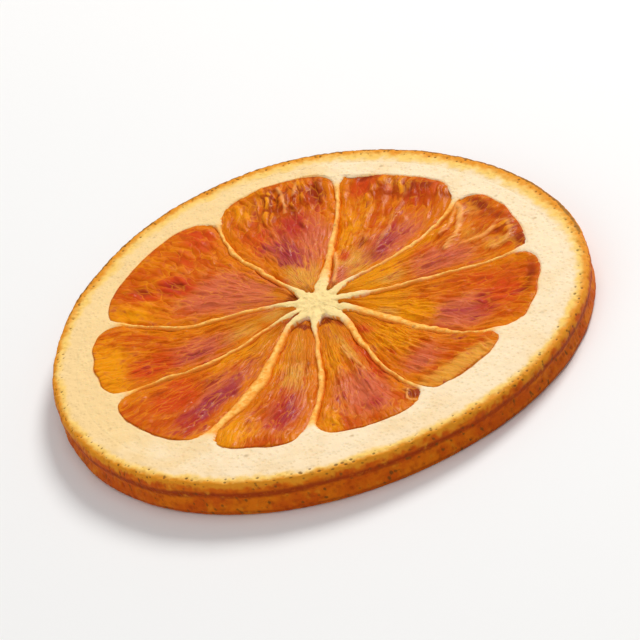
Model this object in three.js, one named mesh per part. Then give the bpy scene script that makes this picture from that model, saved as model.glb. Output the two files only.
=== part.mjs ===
// A dried slice of blood orange, lying flat with the cut face that shows turned up.
// Millimetres and degrees, +Z up. Angles run anticlockwise about the white core, from +X.
//
// The slice is one closed body: a round plan that is a little out of true, a waisted rind,
// a ring of pith, ten membranes that run from the core to the pith, and between them the
// pulp, which has shrunk as it dried and lies sunk on both faces.

import * as THREE from 'three';
import { mergeVertices } from 'three/addons/utils/BufferGeometryUtils.js';

// Overall size.
const OUTLINE_RADIUS = 34.1;
const THICKNESS = 4.6;

// How the plan leaves the true circle: each wave has so many lobes, a height and a peak.
const OUTLINE_WAVES = [
  { lobes: 1, height: 1.53, peak: 242 },
  { lobes: 2, height: 0.28, peak: 102 },
  { lobes: 3, height: 0.64, peak: 103.5 },
];

// The upper face has curled a little as it dried; the lower one lies flat.
const CURL = { lobes: 2, height: 0.3, peak: 60 };

// The core, and the arms that it sends out along the membranes.
const CORE_RADIUS = 2.8;
const CORE_ARM = 1.1;
const CORE_SINK = 0.15;

// The ten membranes: the bearing of each at four radii, its thickness, the radius at which
// it meets the pith, and how far out the pulp reaches in the segment that follows it.
const BEARING_RADII = [5, 12, 18, 25];
const MEMBRANES = [
  { bearings: [-6.3, -7.3, -6, -4], thick: 0.5, join: 26.3, reach: 26.6 },
  { bearings: [33, 26, 27.5, 33.8], thick: 0.4, join: 24.4, reach: 25.9 },
  { bearings: [71.3, 72, 72.6, 74.5], thick: 0.5, join: 26.4, reach: 28 },
  { bearings: [116.7, 117.3, 116, 111], thick: 0.4, join: 26.1, reach: 28.1 },
  { bearings: [155, 165.3, 165.9, 160.5], thick: 0.5, join: 26.8, reach: 28.2 },
  { bearings: [193.5, 201.6, 198.7, 195], thick: 0.4, join: 27.3, reach: 28.7 },
  { bearings: [215, 231.3, 233, 230.7], thick: 1.3, join: 27.6, reach: 28.5 },
  { bearings: [256, 261.7, 261.3, 258.7], thick: 0.4, join: 26.4, reach: 28 },
  { bearings: [299, 289.3, 287.5, 290.5], thick: 0.5, join: 26.4, reach: 27.2 },
  { bearings: [321, 316, 315, 319.5], thick: 0.8, join: 26.3, reach: 27.8 },
];
const MEMBRANE_SINK = 0.2;
const ARCH_POWER = 5;

// The sunk pulp: its depth below each face, its low dome, and its furrows along the radius.
const PULP_DEPTH_TOP = 0.75;
const PULP_DEPTH_UNDER = 0.75;
const PULP_DOME = 0.2;
const FURROW_DEPTH = 0.08;
const WALL_RUN = 0.3;

// The rind's side, from the lower lip over the groove to the bulge under the upper edge.
const UNDER_EDGE_INSET = 1.5;
const UPPER_EDGE_INSET = 0.8;
const RIND_SIDE = [
  { height: 0.4, inset: 0.5 },
  { height: 1, inset: 0.15 },
  { height: 1.8, inset: 0.4 },
  { height: 2.4, inset: 0.3 },
  { height: 3.3, inset: 0 },
  { height: 4.1, inset: 0.15 },
];

// How finely the body is divided.
const STEPS_PER_SEGMENT = 11;
const PULP_SHARES = [0, 0.03, 0.12, 0.24, 0.37, 0.5, 0.63, 0.76, 0.88, 0.97, 1];
const PITH_SHARES = [0.5];
const CORE_SHARES = [0.4, 0.75];

// The look of the slice as a whole.
const COLOUR = 0xd9863a;
const ROUGHNESS = 0.55;
const METALNESS = 0;

const { degToRad, radToDeg, lerp, clamp } = THREE.MathUtils;

/** The value at x of the smooth curve that passes through every point. */
function curveThrough(xs, ys, x) {
  return ys.reduce((sum, y, i) => {
    const weight = xs.reduce((w, other, j) => (j === i ? w : (w * (x - other)) / (xs[i] - other)), 1);
    return sum + y * weight;
  }, 0);
}

/** The height of a wave round the slice, at a bearing. */
function wave({ lobes, height, peak }, bearing) {
  return height * Math.cos(degToRad(lobes * (bearing - peak)));
}

/** The radius of the plan at a bearing. */
function outlineRadius(bearing) {
  return OUTLINE_WAVES.reduce((radius, each) => radius + wave(each, bearing), OUTLINE_RADIUS);
}

/** One edge of a membrane at a radius, as a bearing; side is -1 or +1. */
function membraneEdge(index, side, radius) {
  const turns = Math.floor(index / MEMBRANES.length);
  const membrane = MEMBRANES[index % MEMBRANES.length];
  const middle = curveThrough(BEARING_RADII, membrane.bearings, radius);
  return middle + 360 * turns + side * radToDeg(membrane.thick / 2 / radius);
}

/** The columns of the body: the first and last of a segment's steps are its membranes' edges. */
function makeColumns() {
  const columns = [];
  for (let segment = 0; segment < MEMBRANES.length; segment += 1) {
    for (let step = 0; step < STEPS_PER_SEGMENT; step += 1) {
      const last = STEPS_PER_SEGMENT - 1;
      columns.push({
        segment,
        step,
        onMembrane: step === 0 || step === last,
        across: clamp((step - 1) / (last - 2), 0, 1),
      });
    }
  }
  return columns;
}

/** The bearing of a column at a radius. */
function columnBearing({ segment, step, onMembrane, across }, radius) {
  const reach = clamp(radius, BEARING_RADII[0], BEARING_RADII.at(-1));
  const start = membraneEdge(segment, 1, reach);
  const end = membraneEdge(segment + 1, -1, reach);
  if (onMembrane) {
    return step === 0 ? start : end;
  }
  const foot = radToDeg(WALL_RUN / reach);
  return lerp(start + foot, end - foot, across);
}

/** Zero in the middle of a segment, one at its membranes. */
function fromMiddle({ onMembrane, across }) {
  return onMembrane ? 1 : Math.abs(2 * across - 1);
}

/** The radius at which a column leaves the core. */
function coreEdge(column) {
  return CORE_RADIUS + CORE_ARM * fromMiddle(column) ** 3;
}

/** The radius at which a column enters the pith: an arch over each segment. */
function pithEdge(column) {
  const { join, reach } = MEMBRANES[column.segment];
  const nextJoin = MEMBRANES[(column.segment + 1) % MEMBRANES.length].join;
  return lerp(reach, lerp(join, nextJoin, column.across), fromMiddle(column) ** ARCH_POWER);
}

/** How far the surface lies below the face, where the column crosses the pulp. */
function sinkAt(column, share, pulpDepth) {
  if (column.onMembrane) {
    return MEMBRANE_SINK * Math.sin(Math.PI * clamp(share * 4, 0, 0.5));
  }
  if (share <= 0 || share >= 1) {
    return 0;
  }
  const dome = PULP_DOME * (1 - fromMiddle(column) ** 2) * Math.sin(Math.PI * share);
  const furrow = FURROW_DEPTH * (column.step % 2);
  return pulpDepth - dome + furrow;
}

/** The rows of one face, from its middle to its edge. */
function makeFaceRows(edgeInset, pulpDepth, coreSink) {
  const core = (share) => ({
    radius: (column) => share * coreEdge(column),
    sink: () => coreSink,
  });
  const pulp = (share) => ({
    radius: (column) => lerp(coreEdge(column), pithEdge(column), share),
    sink: (column) => sinkAt(column, share, pulpDepth),
  });
  const pith = (share) => ({
    radius: (column, outline) => lerp(pithEdge(column), outline - edgeInset, share),
    sink: () => 0,
  });
  return [
    core(0),
    ...CORE_SHARES.map(core),
    ...PULP_SHARES.map(pulp),
    ...PITH_SHARES.map(pith),
    pith(1),
  ];
}

/** Every row of the body, from the middle of the lower face round to the middle of the upper. */
function makeRows() {
  const under = makeFaceRows(UNDER_EDGE_INSET, PULP_DEPTH_UNDER, 0);
  const side = RIND_SIDE.map(({ height, inset }) => ({
    radius: (column, outline) => outline - inset,
    height: () => height,
  }));
  const upper = makeFaceRows(UPPER_EDGE_INSET, PULP_DEPTH_TOP, CORE_SINK);
  return [
    ...under.map(({ radius, sink }) => ({ radius, height: sink })),
    ...side,
    ...upper.reverse().map(({ radius, sink }) => ({
      radius,
      height: (column, bearing, reach) => {
        const curl = wave(CURL, bearing) * (reach / OUTLINE_RADIUS) ** 2;
        return THICKNESS + curl - sink(column);
      },
    })),
  ];
}

/** The place of one corner of the body. */
function cornerAt(row, column) {
  const outline = outlineRadius(columnBearing(column, OUTLINE_RADIUS));
  const radius = row.radius(column, outline);
  const bearing = columnBearing(column, radius);
  const angle = degToRad(bearing);
  return new THREE.Vector3(
    radius * Math.cos(angle),
    radius * Math.sin(angle),
    row.height(column, bearing, radius),
  );
}

/** The slice, as a turned disc whose corners are moved to the fruit's own relief. */
function makeSliceGeometry() {
  const columns = makeColumns();
  const rows = makeRows();
  const profile = rows.map((row, i) => new THREE.Vector2(Math.sin((Math.PI * i) / rows.length), i));
  const turned = new THREE.LatheGeometry(profile, columns.length);
  const corners = turned.getAttribute('position');
  for (let i = 0; i < corners.count; i += 1) {
    const column = columns[Math.floor(i / rows.length) % columns.length];
    const corner = cornerAt(rows[i % rows.length], column);
    corners.setXYZ(i, corner.x, corner.y, corner.z);
  }
  turned.deleteAttribute('normal');
  turned.deleteAttribute('uv');
  const geometry = mergeVertices(turned);
  geometry.computeBoundingBox();
  const middle = geometry.boundingBox.getCenter(new THREE.Vector3());
  geometry.translate(-middle.x, -middle.y, -geometry.boundingBox.min.z);
  geometry.computeVertexNormals();
  return geometry;
}

const slice = new THREE.Mesh(
  makeSliceGeometry(),
  new THREE.MeshStandardMaterial({ color: COLOUR, roughness: ROUGHNESS, metalness: METALNESS }),
);
slice.name = 'citrus_slice';

const part = new THREE.Group();
part.add(slice);

export default part;
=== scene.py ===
# %% [markdown]
# # A dried slice of blood orange
#
# The fruit was cut across, so the slice shows a wheel: a waisted skin outside, a ring of white
# pith, ten thin membranes that run in to a white core, and between them the pulp, which shrank
# to a glossy, wrinkled film.
#
# The slice already exists as one plain solid at its real size. It could get a material and no
# more, but its pulp is smooth and its skin has no pores, so it is replaced by finer meshes that
# follow the same plan: the skin, the pith with its membranes, and ten wedges of pulp.

# %% The frame to build in
import math

import bmesh
import bpy
import numpy as np
from mathutils import Matrix, Vector


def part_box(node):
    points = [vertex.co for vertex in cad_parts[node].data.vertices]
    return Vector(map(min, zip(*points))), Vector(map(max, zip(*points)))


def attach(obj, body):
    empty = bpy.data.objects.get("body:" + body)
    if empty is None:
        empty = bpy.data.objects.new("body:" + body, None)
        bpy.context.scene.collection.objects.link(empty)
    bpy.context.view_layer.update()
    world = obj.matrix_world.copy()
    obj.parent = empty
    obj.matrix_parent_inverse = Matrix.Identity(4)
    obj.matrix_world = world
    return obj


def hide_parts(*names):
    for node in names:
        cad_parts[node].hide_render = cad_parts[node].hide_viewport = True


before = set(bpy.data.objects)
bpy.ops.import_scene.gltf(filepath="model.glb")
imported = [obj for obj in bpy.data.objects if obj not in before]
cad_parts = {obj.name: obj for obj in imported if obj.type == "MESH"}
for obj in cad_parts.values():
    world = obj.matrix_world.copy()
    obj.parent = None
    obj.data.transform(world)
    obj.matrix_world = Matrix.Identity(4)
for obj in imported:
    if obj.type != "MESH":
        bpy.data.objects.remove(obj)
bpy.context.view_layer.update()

MM = 0.001
slice_low, slice_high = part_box("citrus_slice")
print("solid to replace, mm:", [round((high - low) / MM, 1) for low, high in zip(slice_low, slice_high)])

# %% [markdown]
# ## The plan of the slice
#
# A slice of fruit is nearly round, and every part of it is easiest to place from the core: by a
# bearing, in degrees anticlockwise from +X, and a radius in millimetres. The outline could be
# traced point by point. Three waves on a circle give the same lopsided wheel, can be read at a
# glance, and are the values that the solid was made from, so that the two agree.

# %% The outline, and where the core stands
OUTLINE_RADIUS = 34.1
THICKNESS = 4.6
OUTLINE_WAVES = [(1, 1.53, 242), (2, 0.28, 102), (3, 0.64, 103.5)]  # lobes, height and peak
CURL = (2, 0.3, 60)


def wave(bearing, lobes, height, peak):
    """The height of a wave round the slice."""
    return height * np.cos(np.radians(lobes * (bearing - peak)))


def outline(bearing):
    """The radius of the slice."""
    return OUTLINE_RADIUS + sum(wave(bearing, *each) for each in OUTLINE_WAVES)


def face_height(bearing, radius):
    """The height of the upper face, which curled as it dried."""
    return THICKNESS + wave(bearing, *CURL) * (radius / OUTLINE_RADIUS) ** 2


def plan(bearing, radius):
    """A place seen from above, in millimetres from the core."""
    return radius * np.cos(np.radians(bearing)), radius * np.sin(np.radians(bearing))


round_once = np.arange(0, 360, 0.1)
rim_x, rim_y = plan(round_once, outline(round_once))
core_x = slice_high[0] / MM - rim_x.max()
core_y = slice_high[1] / MM - rim_y.max()
print("core stands at, mm:", round(core_x, 2), round(core_y, 2))

# %% [markdown]
# ## The membranes
#
# The membranes aren't straight spokes: drying pulled each one into a bow of its own. A curve
# object for each would be one way to draw them. Here the bearing is noted at four radii, and a
# cubic through the four gives it everywhere, so that every mesh can ask where a membrane is.

# %% Where each membrane runs
BEARING_RADII = (5, 12, 18, 25)
THICK_RADII = (6, 14, 22)
MEMBRANES = [  # bearings, thicknesses, radius at the pith, and how far out the next wedge goes
    ((-6.3, -7.3, -6, -4), (0.8, 0.6, 0.45), 26.3, 26.6),
    ((33, 26, 27.5, 33.8), (0.55, 0.6, 0.5), 24.4, 25.9),
    ((71.3, 72, 72.6, 74.5), (1.1, 0.6, 0.5), 26.4, 28),
    ((116.7, 117.3, 116, 111), (0.5, 0.65, 0.5), 26.1, 28.1),
    ((155, 165.3, 165.9, 160.5), (0.55, 0.7, 0.5), 26.8, 28.2),
    ((193.5, 201.6, 198.7, 195), (0.45, 0.6, 0.5), 27.3, 28.7),
    ((215, 231.3, 233, 230.7), (0.7, 1.6, 1.4), 27.6, 28.5),
    ((256, 261.7, 261.3, 258.7), (0.5, 0.65, 0.55), 26.4, 28),
    ((299, 289.3, 287.5, 290.5), (1.0, 0.5, 0.4), 26.4, 27.2),
    ((321, 316, 315, 319.5), (1.0, 1.0, 0.6), 26.3, 27.8),
]
BEARINGS, THICKS, JOINS, REACHES = zip(*MEMBRANES)
SEGMENTS = len(BEARINGS)
CUBICS = [np.polyfit(BEARING_RADII, each, 3) for each in BEARINGS]

CORE_RADIUS = 2.8
CORE_ARM = 1.1
ARM_RADIUS = CORE_RADIUS + CORE_ARM  # where a membrane leaves the core
print("membranes:", SEGMENTS, "- the longest, mm:", round(max(JOINS) - ARM_RADIUS, 1))

# %% [markdown]
# ## Chance that repeats
#
# Dried fruit is irregular at every size, from slow swells to crumbs of pulp. Blender's noise
# textures could move the points, but a point must also know its relief for its colour later.
# So the noise is made here as arrays: soft hills for swells and wrinkles, and scattered cells
# for pores and juice sacs. A place is divided by the length of a hill, in millimetres, and the
# last number of each call is its draw, which gives the same fruit each time.

# %% Soft hills, and cells
TABLE = 128  # hills or cells in a row, before they repeat


def soft(x, y, seed):
    """Smooth hills and dips between -1 and 1, about one to each unit."""
    table = np.random.default_rng(seed).uniform(-1, 1, (TABLE, TABLE))
    column, row = np.floor(x).astype(int), np.floor(y).astype(int)
    across, along = x - column, y - row
    across, along = across**2 * (3 - 2 * across), along**2 * (3 - 2 * along)

    def corner(right, up):
        return table[(column + right) % TABLE, (row + up) % TABLE]

    near = corner(0, 0) * (1 - across) + corner(1, 0) * across
    far = corner(0, 1) * (1 - across) + corner(1, 1) * across
    return near * (1 - along) + far * along


def rough(x, y, seed, octaves=3):
    """Hills with smaller hills on them."""
    return sum(soft(x * 2**n, y * 2**n, seed + n) / 2**n for n in range(octaves))


def cells(x, y, seed):
    """How far the nearest scattered point is, how much further the next, and a number of its own."""
    scatter = np.random.default_rng(seed).random((TABLE, TABLE, 3))
    column, row = np.floor(x).astype(int), np.floor(y).astype(int)
    nearest, second, own = np.full(x.shape, np.inf), np.full(x.shape, np.inf), np.zeros(x.shape)
    for right in (-1, 0, 1):
        for up in (-1, 0, 1):
            point = scatter[(column + right) % TABLE, (row + up) % TABLE]
            away = np.hypot(column + right + point[..., 0] - x, row + up + point[..., 1] - y)
            closer = away < nearest
            second = np.where(closer, nearest, np.minimum(second, away))
            own = np.where(closer, point[..., 2], own)
            nearest = np.where(closer, away, nearest)
    return nearest, second - nearest, own


def ease(value, low, high):
    """Zero below low, one above high, and a smooth rise between."""
    share = np.clip((value - low) / (high - low), 0, 1)
    return share**2 * (3 - 2 * share)


def blend(low, high, share):
    """The value that lies a share of the way from low to high."""
    return low + (high - low) * share


# %% [markdown]
# ## From bearings to points
#
# A membrane is thickest where it flares into the core and into the pith, which is what makes
# the corners of each pulp wedge round. A Boolean with rounded edges could give that. A formula
# for the thickness gives it without cutting, and leaves the mesh in clean rows.

# %% The edges of the membranes
PITH_FLARE = 0.8
PITH_FLARE_LENGTH = 1.0
CORE_FLARE = 0.25
CORE_FLARE_LENGTH = 0.9
GROWTH = 0.3  # how uneven the thickness is, as a share
MEANDER = 0.2


def half_thickness(index, radius):
    """Half a membrane's thickness, with its flares and its uneven growth."""
    index = index % SEGMENTS
    at = np.clip(radius, ARM_RADIUS, JOINS[index])
    flares = PITH_FLARE * np.exp((at - JOINS[index]) / PITH_FLARE_LENGTH)
    flares += CORE_FLARE * np.exp((ARM_RADIUS - at) / CORE_FLARE_LENGTH)
    thick = np.interp(at, THICK_RADII, THICKS[index])
    growth = soft(at / 1.7, index * 5.3, 11) + 0.4 * soft(at / 0.5, index * 2.9, 14)
    return thick / 2 * (1 + GROWTH * growth) + flares


def membrane_bearing(index, across, radius):
    """The bearing at a share of a membrane's thickness, from -1 on its right to 1 on its left."""
    turns, index = divmod(index, SEGMENTS)
    at = np.clip(radius, BEARING_RADII[0], BEARING_RADII[-1])
    meander = soft(at / 2.6, index * 7.7, 12) + 0.35 * soft(at / 0.8, index * 4.1, 15)
    meander = MEANDER * meander * ease(at, 5, 8) * (1 - ease(at, 22, 25))
    half = half_thickness(index, radius) * across
    held = np.clip(radius, ARM_RADIUS, JOINS[index])
    return np.polyval(CUBICS[index], at) + 360 * turns + np.degrees(meander / at + half / held)


# %% The edges of the wedges between them
ARCH_POWER = 5
RIPPLE = 0.22


def core_edge(across):
    """The radius at which the core ends, at a share of the way across a segment."""
    return CORE_RADIUS + CORE_ARM * np.abs(2 * across - 1) ** 3


def pith_edge(segment, across):
    """The radius at which the pith begins: an arch over each segment."""
    join, next_join = JOINS[segment], JOINS[(segment + 1) % SEGMENTS]
    arch = np.abs(2 * across - 1) ** ARCH_POWER
    ripple = RIPPLE * soft(across * 7, segment * 3.1, 13) * (1 - arch)
    return blend(REACHES[segment], blend(join, next_join, across), arch) + ripple


def segment_bearing(segment, across, radius):
    """The bearing at a share of the way across a segment."""
    start = membrane_bearing(segment, 1, radius)
    end = membrane_bearing(segment + 1, -1, radius)
    return blend(start, end, across)


def place(bearing, radius, height):
    """Points in metres, in the frame of the slice."""
    x, y = plan(bearing, radius)
    return np.stack(np.broadcast_arrays(core_x + x, core_y + y, height), axis=-1) * MM


# %% [markdown]
# ## Patches into one mesh
#
# Each mesh is sewn from grids of points. They could be joined as objects and remeshed, which
# blurs thin membranes. Here the grids meet in the same points, so merging by distance closes
# the mesh, and the number of open edges that it prints has to be none.

# %% Sewing the patches
WELD = 0.0001 * MM


def patch(points, flip=False, **fields):
    """A grid of points with what is known at each; its front is where rows turn towards columns."""
    return {"points": points, "flip": flip, "fields": fields}


def sew(name, patches, finish):
    """One closed mesh from patches that share their borders."""
    faces, start = [], 0
    for each in patches:
        rows, columns = each["points"].shape[:2]
        number = start + np.arange(rows * columns).reshape(rows, columns)
        start += rows * columns
        corners = [number[:-1, :-1], number[1:, :-1], number[1:, 1:], number[:-1, 1:]]
        if each["flip"]:
            corners.reverse()
        faces.append(np.stack(corners, axis=-1).reshape(-1, 4))
    points = np.concatenate([each["points"].reshape(-1, 3) for each in patches])
    mesh = bpy.data.meshes.new(name)
    mesh.from_pydata(points.tolist(), [], np.concatenate(faces).tolist())
    for field in patches[0]["fields"]:
        spread = [np.broadcast_to(each["fields"][field], each["points"].shape[:2]) for each in patches]
        values = np.concatenate([each.ravel() for each in spread])
        mesh.attributes.new(field, "FLOAT", "POINT").data.foreach_set("value", values.astype(np.float32))
    sewn = bmesh.new()
    sewn.from_mesh(mesh)
    bmesh.ops.remove_doubles(sewn, verts=sewn.verts, dist=WELD)
    open_edges = sum(1 for edge in sewn.edges if not edge.is_manifold)
    sewn.to_mesh(mesh)
    sewn.free()
    mesh.shade_smooth()
    piece = bpy.data.objects.new(name, mesh)
    bpy.context.collection.objects.link(piece)
    mesh.materials.append(finish)
    print(f"{name}: {len(mesh.polygons)} faces, {open_edges} open edges")
    return piece


# %% [markdown]
# ## Finishes written as sums
#
# A finish is a small program that runs at each point of a surface. It can be wired by hand in
# the shader editor. Written in Python, a sum such as 1 - mask should read like a sum, so this
# small class wraps the output of a node, and each sign adds the Math node that it stands for.

# %% A wire, and the bench that the nodes stand on
class Wire:
    """The output of a node, which can be used in sums."""

    def __init__(self, bench, output):
        self.bench = bench
        self.output = output

    def sum(self, operation, first, second):
        return self.bench.node("ShaderNodeMath", {"operation": operation}, {0: first, 1: second})

    def __add__(self, other):
        return self.sum("ADD", self, other)

    def __radd__(self, other):
        return self.sum("ADD", other, self)

    def __sub__(self, other):
        return self.sum("SUBTRACT", self, other)

    def __rsub__(self, other):
        return self.sum("SUBTRACT", other, self)

    def __mul__(self, other):
        return self.sum("MULTIPLY", self, other)

    def __rmul__(self, other):
        return self.sum("MULTIPLY", other, self)


class Bench:
    """A material on the bench, with one method for every kind of node."""

    def __init__(self, name):
        self.material = bpy.data.materials.new(name)
        self.material.use_nodes = True
        self.tree = self.material.node_tree
        self.shader = self.tree.nodes["Principled BSDF"]

    def plug(self, socket, value):
        """Links a wire to a socket, or sets a plain value on it."""
        if isinstance(value, Wire):
            self.tree.links.new(value.output, socket)
        else:
            socket.default_value = value

    def node(self, kind, settings, sockets, output=0):
        """A node: its settings come first, and then the values or wires of its sockets."""
        made = self.tree.nodes.new(kind)
        for name, value in settings.items():
            setattr(made, name, value)
        for name, value in sockets.items():
            self.plug(made.inputs[name], value)
        return Wire(self, made.outputs[output])

    def finish(self, **sockets):
        """Plugs the shader's own sockets, named with a low line for each space."""
        for name, value in sockets.items():
            self.plug(self.shader.inputs[name.replace("_", " ")], value)
        print(f"finish {self.material.name}: {len(self.tree.nodes)} nodes")
        return self.material


# %% [markdown]
# ## Words for fruit
#
# With the bench in place, the finishes below need only a few words: a field that was stored on
# the mesh, a grain, spots, a mask, a tint, coats of tints and a relief. Colours are given as they
# look on a screen, and turned into the amount of light that they stand for. The scale of a grain
# is how many there are to a metre, or to a millimetre where it follows the fibres.

# %% The words
def screen(red, green, blue):
    """A colour as seen on a screen, from 0 to 255, as light."""
    light = [((part / 255 + 0.055) / 1.055) ** 2.4 for part in (red, green, blue)]
    return (*light, 1)


def field(bench, name):
    """What was stored on the mesh under a name."""
    return bench.node("ShaderNodeAttribute", {"attribute_name": name}, {}, "Fac")


def fibres(bench, across, along, stray=0.0):
    """Coordinates along the fruit's own fibres, so many grains to each millimetre."""
    sockets = {"X": field(bench, "side") * across + stray, "Y": field(bench, "reach") * along + stray}
    sockets["Z"] = field(bench, "piece")
    return bench.node("ShaderNodeCombineXYZ", {}, sockets)


def body(bench):
    """Coordinates in the slice itself, in metres."""
    return bench.node("ShaderNodeTexCoord", {}, {}, "Object")


def grain(where, scale, detail=3, roughness=0.55):
    """Soft noise from 0 to 1."""
    sockets = {"Vector": where, "Scale": scale, "Detail": detail, "Roughness": roughness}
    return where.bench.node("ShaderNodeTexNoise", {}, sockets)


def spots(where, scale, output="Distance", feature="F1", randomness=1.0):
    """Scattered cells: how far their middles or edges are, or a number of their own."""
    sockets = {"Vector": where, "Scale": scale, "Randomness": randomness}
    return where.bench.node("ShaderNodeTexVoronoi", {"feature": feature}, sockets, output)


def mask(value, low, high):
    """Zero at low, one at high, eased between."""
    sockets = {"Value": value, "From Min": low, "From Max": high}
    return value.bench.node("ShaderNodeMapRange", {"interpolation_type": "SMOOTHSTEP"}, sockets)


def tint(share, first, second):
    """A colour between two."""
    return share.bench.node("ShaderNodeMix", {"data_type": "RGBA"}, {0: share, 6: first, 7: second}, 2)


def coats(colour, *layers):
    """A colour with others laid over it in turn, each by its share."""
    for share, shade in layers:
        colour = tint(share, colour, shade)
    return colour


def relief(height, depth):
    """A normal that shows a height, in metres of depth."""
    return height.bench.node("ShaderNodeBump", {}, {"Height": height, "Distance": depth, "Strength": 1.0})


# %% [markdown]
# ## Bare pith
#
# Pith dries to a cream, felt-like sponge, and its hollows are painted a little darker as shade.
# It shows on two meshes, on the ring itself and where the skin's mesh turns over onto the cut
# face, and a seam would show if the two differed. So its colour and its grain are worked out in
# one place, for both. It is warmer on the left and far sides.

# %% The sponge
PITH_CREAM = screen(250, 226, 188)
PITH_WARM = screen(246, 210, 146)
PITH_SHADE = screen(238, 202, 144)


def bare_pith(bench):
    """The colour of bare pith, the height of its grain, and its slow clouds."""
    here = body(bench)
    cloud = grain(here, 190, 4, 0.6)
    fine = grain(here, 1700, 4, 0.7)
    sponge = mask(spots(here, 1700), 0.1, 0.5)
    warm = mask(field(bench, "warm") + 1.2 * (cloud - 0.5), 0.1, 0.9)
    # Painted shade in the hollows of the sponge.
    hollow_shade = 1 - mask(0.5 * sponge + 0.5 * fine, 0.3, 0.6)
    colour = coats(
        PITH_CREAM,
        (0.9 * warm, PITH_WARM),
        (0.4 * mask(cloud, 0.4, 0.7), PITH_SHADE),
        (0.35 * hollow_shade, PITH_SHADE),
    )
    return colour, 0.8 * fine + 0.5 * sponge, cloud


# %% [markdown]
# ## The finish of the skin
#
# Dried peel is leathery. It is golden where the knife cut its upper edge, burnt orange down its
# side and darker in a band above the waist. Painted shade darkens its foot, its dimples and its
# far upper edge, and a dark pore marks wherever an oil gland dried out. One flat orange would
# look like plastic, so the colour follows fields that are stored on the mesh, and the same
# pores dent the mesh.

# %% The skin
PEEL_GOLD = screen(232, 152, 36)
PEEL_AMBER = screen(220, 114, 2)
PEEL_ORANGE = screen(202, 86, 0)
# A darker band above the waist, and painted shade at the foot and in the dimples.
PEEL_DARK_AND_SHADE = screen(148, 46, 0)
# Painted shade along the far upper edge of the skin.
PEEL_FAR_EDGE_SHADE = screen(124, 84, 26)
PEEL_PORE = screen(112, 72, 22)
PITH_YELLOW = screen(246, 202, 106)


def make_peel_finish():
    bench = Bench("peel")
    here = body(bench)
    blotches = grain(here, 260)
    middling = grain(here, 620, 2)
    fine = grain(here, 1500, 4, 0.7)
    dimple = mask(spots(here, 1100, randomness=0.9), 0.05, 0.5)
    # A darker band above the waist, and painted shade at the foot.
    dark_band_and_foot_shade = mask(field(bench, "dark_band_and_foot_shade") + 0.7 * (blotches - 0.5) + 0.6 * (middling - 0.5), 0.3, 0.95)
    inset = field(bench, "inset") + 1.2 * (middling - 0.5) + 0.7 * (fine - 0.5)
    far_edge_shade = mask(field(bench, "far_edge_shade") + 1.2 * (fine - 0.5) + 1.2 * (middling - 0.5), 0.35, 0.8)
    pith_colour, pith_height, _ = bare_pith(bench)
    pith = mask(inset + 1.4 * (blotches - 0.5), 1.4, 2.4)
    colour = coats(
        tint(mask(0.6 * blotches + 0.4 * middling, 0.4, 0.6), PEEL_ORANGE, PEEL_AMBER),
        (0.85 * dark_band_and_foot_shade, PEEL_DARK_AND_SHADE),
        # Painted shade in the dimples.
        (0.4 * (1 - dimple), PEEL_DARK_AND_SHADE),
        (0.35 * mask(fine, 0.5, 0.7), PEEL_DARK_AND_SHADE),
        (0.4 * (1 - mask(fine, 0.3, 0.45)), PEEL_AMBER),
        (0.85 * mask(inset, 0.1, 0.5), PEEL_GOLD),
        # Painted shade along the far upper edge.
        (0.75 * far_edge_shade, PEEL_FAR_EDGE_SHADE),
        (mask(inset, 0.8, 1.6), PITH_YELLOW),
        (pith, pith_colour),
        (0.8 * mask(field(bench, "pore") + 0.4 * fine, 0.6, 0.95), PEEL_PORE),
    )
    return bench.finish(
        Base_Color=colour,
        Roughness=0.5 + 0.2 * fine,
        Specular_IOR_Level=0.1,
        Normal=relief((1 - pith) * (fine + 0.8 * dimple) + 0.75 * pith * pith_height, 0.12 * MM),
    )


peel_finish = make_peel_finish()

# %% [markdown]
# ## The finish of the ring, the membranes and the core
#
# All three are pith, yellower in the core. The membranes are the same tissue but thin, so the
# juice stains them amber between core and ring, and most of all on their flanks. Down the walls
# of the holes the amber darkens with depth, partly stain and partly painted shade. Stored fields
# say how stained, how deep and how close to the core each point is.

# %% The tissue
# Down the walls of the holes: juice stain darkened with painted shade.
WALL_STAIN_AND_SHADE = screen(220, 118, 24)
CORE_YELLOW = screen(248, 217, 140)
MEMBRANE_AMBER = screen(248, 158, 50)
MEMBRANE_PALE = screen(255, 204, 110)
SPECK = screen(150, 116, 66)


def make_pith_finish():
    bench = Bench("pith")
    here = body(bench)
    colour, height, cloud = bare_pith(bench)
    fine = grain(here, 1200, 3, 0.6)
    core = mask(field(bench, "core") + 0.8 * (cloud - 0.5), 0.1, 0.9)
    stained = tint(mask(fine, 0.35, 0.65), MEMBRANE_AMBER, MEMBRANE_PALE)
    stained = tint(field(bench, "flank"), stained, MEMBRANE_AMBER)
    stain = mask(field(bench, "stain") + 0.6 * (cloud - 0.5) + 0.4 * (fine - 0.5), 0.1, 0.9)
    speck = 1 - mask(spots(here, 420), 0.04, 0.2)
    speck = speck * mask(spots(here, 420, "Color"), 0.62, 0.66)
    colour = coats(
        colour,
        (0.8 * core, CORE_YELLOW),
        (stain, stained),
        # Darker with depth down the walls: juice stain and painted shade.
        (mask(field(bench, "drop") + 0.25 * cloud, 0.3, 0.95), WALL_STAIN_AND_SHADE),
        (0.45 * speck, SPECK),
    )
    return bench.finish(
        Base_Color=colour,
        Roughness=0.72 + 0.15 * fine,
        Specular_IOR_Level=0.15,
        Subsurface_Weight=0.12,
        Subsurface_Radius=(1.0, 0.6, 0.35),
        Subsurface_Scale=0.8 * MM,
        Normal=relief(height - 0.5 * speck, 0.09 * MM),
    )


pith_finish = make_pith_finish()
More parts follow.
